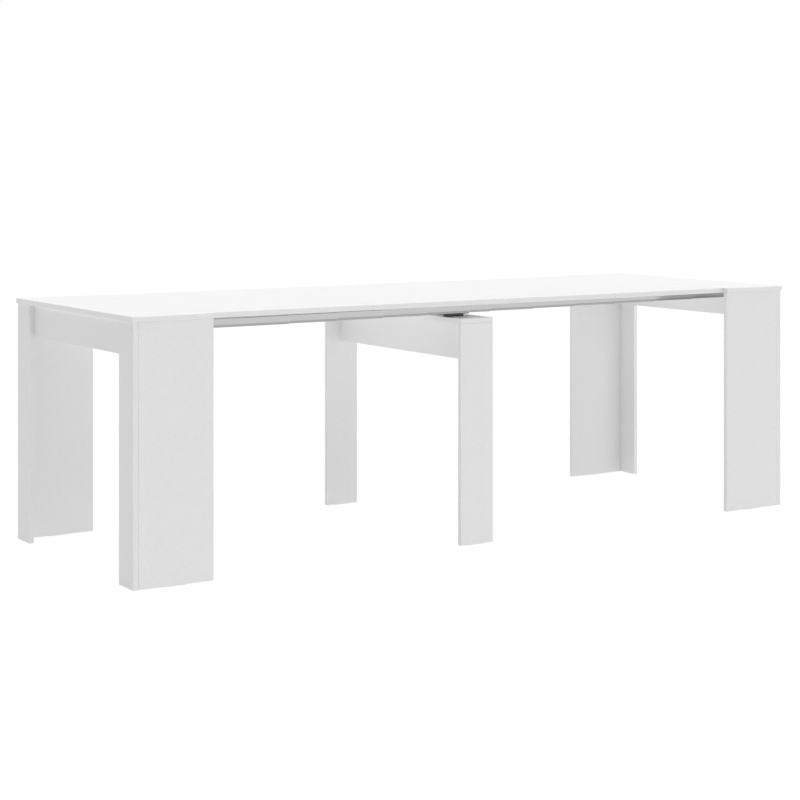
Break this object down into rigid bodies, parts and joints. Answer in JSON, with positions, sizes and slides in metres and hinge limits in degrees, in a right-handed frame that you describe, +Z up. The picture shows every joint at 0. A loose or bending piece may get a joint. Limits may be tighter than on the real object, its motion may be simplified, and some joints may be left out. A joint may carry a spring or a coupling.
{
  "type": "extending dining table",
  "caption": "Extending console dining table: panel legs at both ends, a bridge-shaped centre leg and loose leaves on telescoping metal rails that slide shut to a narrow console.",
  "frame": {"origin": "on the floor, under the middle of the fully open table", "axes": "+X along the table's length and its extending motion, +Y from the front edge to the rear edge, +Z up"},
  "size_m": [2.53, 0.9, 0.784],
  "materials": {
    "white_board": "white melamine-faced particle board with banded edges, satin, fine texture",
    "rail_aluminium": "extruded, satin anodised",
    "bracket_steel": "zinc-plated sheet steel",
    "spacer_plastic": "moulded, black, matt",
    "glide_plastic": "moulded, white, matt",
    "dowel_beech": "turned beech, bare"
  },
  "bodies": {
    "left_frame": {"left_top_board": "white_board", "left_apron": "white_board", "left_front_leg_strip": "white_board", "left_rear_leg_strip": "white_board", "left_front_side_board": "white_board", "left_rear_side_board": "white_board", "left_front_glide": "glide_plastic", "left_rear_glide": "glide_plastic", "left_front_rail_guide": "rail_aluminium", "left_rear_rail_guide": "rail_aluminium"},
    "rail_stage_01": {"front_rail_01": "rail_aluminium", "rear_rail_01": "rail_aluminium"},
    "rail_stage_02": {"front_rail_02": "rail_aluminium", "rear_rail_02": "rail_aluminium"},
    "rail_stage_03": {"front_rail_03": "rail_aluminium", "rear_rail_03": "rail_aluminium"},
    "rail_stage_04": {"front_rail_04": "rail_aluminium", "rear_rail_04": "rail_aluminium"},
    "rail_stage_05": {"front_rail_05": "rail_aluminium", "rear_rail_05": "rail_aluminium"},
    "rail_stage_06": {"front_rail_06": "rail_aluminium", "rear_rail_06": "rail_aluminium", "centre_top_board": "white_board", "centre_crossbar": "white_board", "centre_front_leg": "white_board", "centre_rear_leg": "white_board", "centre_front_glide": "glide_plastic", "centre_rear_glide": "glide_plastic", "front_rail_spacer": "spacer_plastic", "rear_rail_spacer": "spacer_plastic"},
    "rail_stage_07": {"front_rail_07": "rail_aluminium", "rear_rail_07": "rail_aluminium"},
    "rail_stage_08": {"front_rail_08": "rail_aluminium", "rear_rail_08": "rail_aluminium"},
    "rail_stage_09": {"front_rail_09": "rail_aluminium", "rear_rail_09": "rail_aluminium"},
    "rail_stage_10": {"front_rail_10": "rail_aluminium", "rear_rail_10": "rail_aluminium"},
    "rail_stage_11": {"front_rail_11": "rail_aluminium", "rear_rail_11": "rail_aluminium"},
    "right_frame": {"right_top_board": "white_board", "right_apron": "white_board", "right_front_leg_strip": "white_board", "right_rear_leg_strip": "white_board", "right_front_side_board": "white_board", "right_rear_side_board": "white_board", "right_front_glide": "glide_plastic", "right_rear_glide": "glide_plastic", "right_front_rail_bracket": "bracket_steel", "right_rear_rail_bracket": "bracket_steel", "front_rail_12": "rail_aluminium", "rear_rail_12": "rail_aluminium"},
    "left_leaf": {"left_leaf": "white_board", "left_seam_front_dowel": "dowel_beech", "left_seam_rear_dowel": "dowel_beech"},
    "middle_leaf": {"middle_leaf": "white_board"},
    "right_leaf": {"right_leaf": "white_board", "right_seam_front_dowel": "dowel_beech", "right_seam_rear_dowel": "dowel_beech"}
  },
  "joints": [
    {"name": "table_extension", "type": "slide", "parent": "left_frame", "child": "right_frame", "axis": [1, 0, 0], "range_m": [-2.007, 0]},
    {"name": "rail_01_slide", "type": "slide", "parent": "left_frame", "child": "rail_stage_01", "axis": [1, 0, 0], "range_m": [-0.093, 0]},
    {"name": "rail_02_slide", "type": "slide", "parent": "left_frame", "child": "rail_stage_02", "axis": [1, 0, 0], "range_m": [-0.2688, 0]},
    {"name": "rail_03_slide", "type": "slide", "parent": "left_frame", "child": "rail_stage_03", "axis": [1, 0, 0], "range_m": [-0.4446, 0]},
    {"name": "rail_04_slide", "type": "slide", "parent": "left_frame", "child": "rail_stage_04", "axis": [1, 0, 0], "range_m": [-0.6204, 0]},
    {"name": "rail_05_slide", "type": "slide", "parent": "left_frame", "child": "rail_stage_05", "axis": [1, 0, 0], "range_m": [-0.7962, 0]},
    {"name": "rail_06_slide", "type": "slide", "parent": "left_frame", "child": "rail_stage_06", "axis": [1, 0, 0], "range_m": [-0.8877, 0]},
    {"name": "rail_07_slide", "type": "slide", "parent": "left_frame", "child": "rail_stage_07", "axis": [1, 0, 0], "range_m": [-1.07425, 0]},
    {"name": "rail_08_slide", "type": "slide", "parent": "left_frame", "child": "rail_stage_08", "axis": [1, 0, 0], "range_m": [-1.2608, 0]},
    {"name": "rail_09_slide", "type": "slide", "parent": "left_frame", "child": "rail_stage_09", "axis": [1, 0, 0], "range_m": [-1.44735, 0]},
    {"name": "rail_10_slide", "type": "slide", "parent": "left_frame", "child": "rail_stage_10", "axis": [1, 0, 0], "range_m": [-1.6339, 0]},
    {"name": "rail_11_slide", "type": "slide", "parent": "left_frame", "child": "rail_stage_11", "axis": [1, 0, 0], "range_m": [-1.82045, 0]},
    {"name": "left_leaf_lift", "type": "slide", "parent": "left_frame", "child": "left_leaf", "axis": [0, 0, 1], "range_m": [0, 0.6]},
    {"name": "middle_leaf_lift", "type": "slide", "parent": "left_frame", "child": "middle_leaf", "axis": [0, 0, 1], "range_m": [0, 0.6]},
    {"name": "right_leaf_lift", "type": "slide", "parent": "left_frame", "child": "right_leaf", "axis": [0, 0, 1], "range_m": [0, 0.6]}
  ],
  "couplings": [
    {"joint": "rail_01_slide", "follows": "table_extension", "ratio": 0.046338},
    {"joint": "rail_02_slide", "follows": "table_extension", "ratio": 0.13393},
    {"joint": "rail_03_slide", "follows": "table_extension", "ratio": 0.22152},
    {"joint": "rail_04_slide", "follows": "table_extension", "ratio": 0.30912},
    {"joint": "rail_05_slide", "follows": "table_extension", "ratio": 0.39671},
    {"joint": "rail_06_slide", "follows": "table_extension", "ratio": 0.4423},
    {"joint": "rail_07_slide", "follows": "table_extension", "ratio": 0.53525},
    {"joint": "rail_08_slide", "follows": "table_extension", "ratio": 0.6282},
    {"joint": "rail_09_slide", "follows": "table_extension", "ratio": 0.72115},
    {"joint": "rail_10_slide", "follows": "table_extension", "ratio": 0.8141},
    {"joint": "rail_11_slide", "follows": "table_extension", "ratio": 0.90705},
    {"joint": "left_leaf_lift", "follows": "table_extension", "ratio": -0.29895},
    {"joint": "middle_leaf_lift", "follows": "table_extension", "ratio": -0.29895},
    {"joint": "right_leaf_lift", "follows": "table_extension", "ratio": -0.29895}
  ]
}
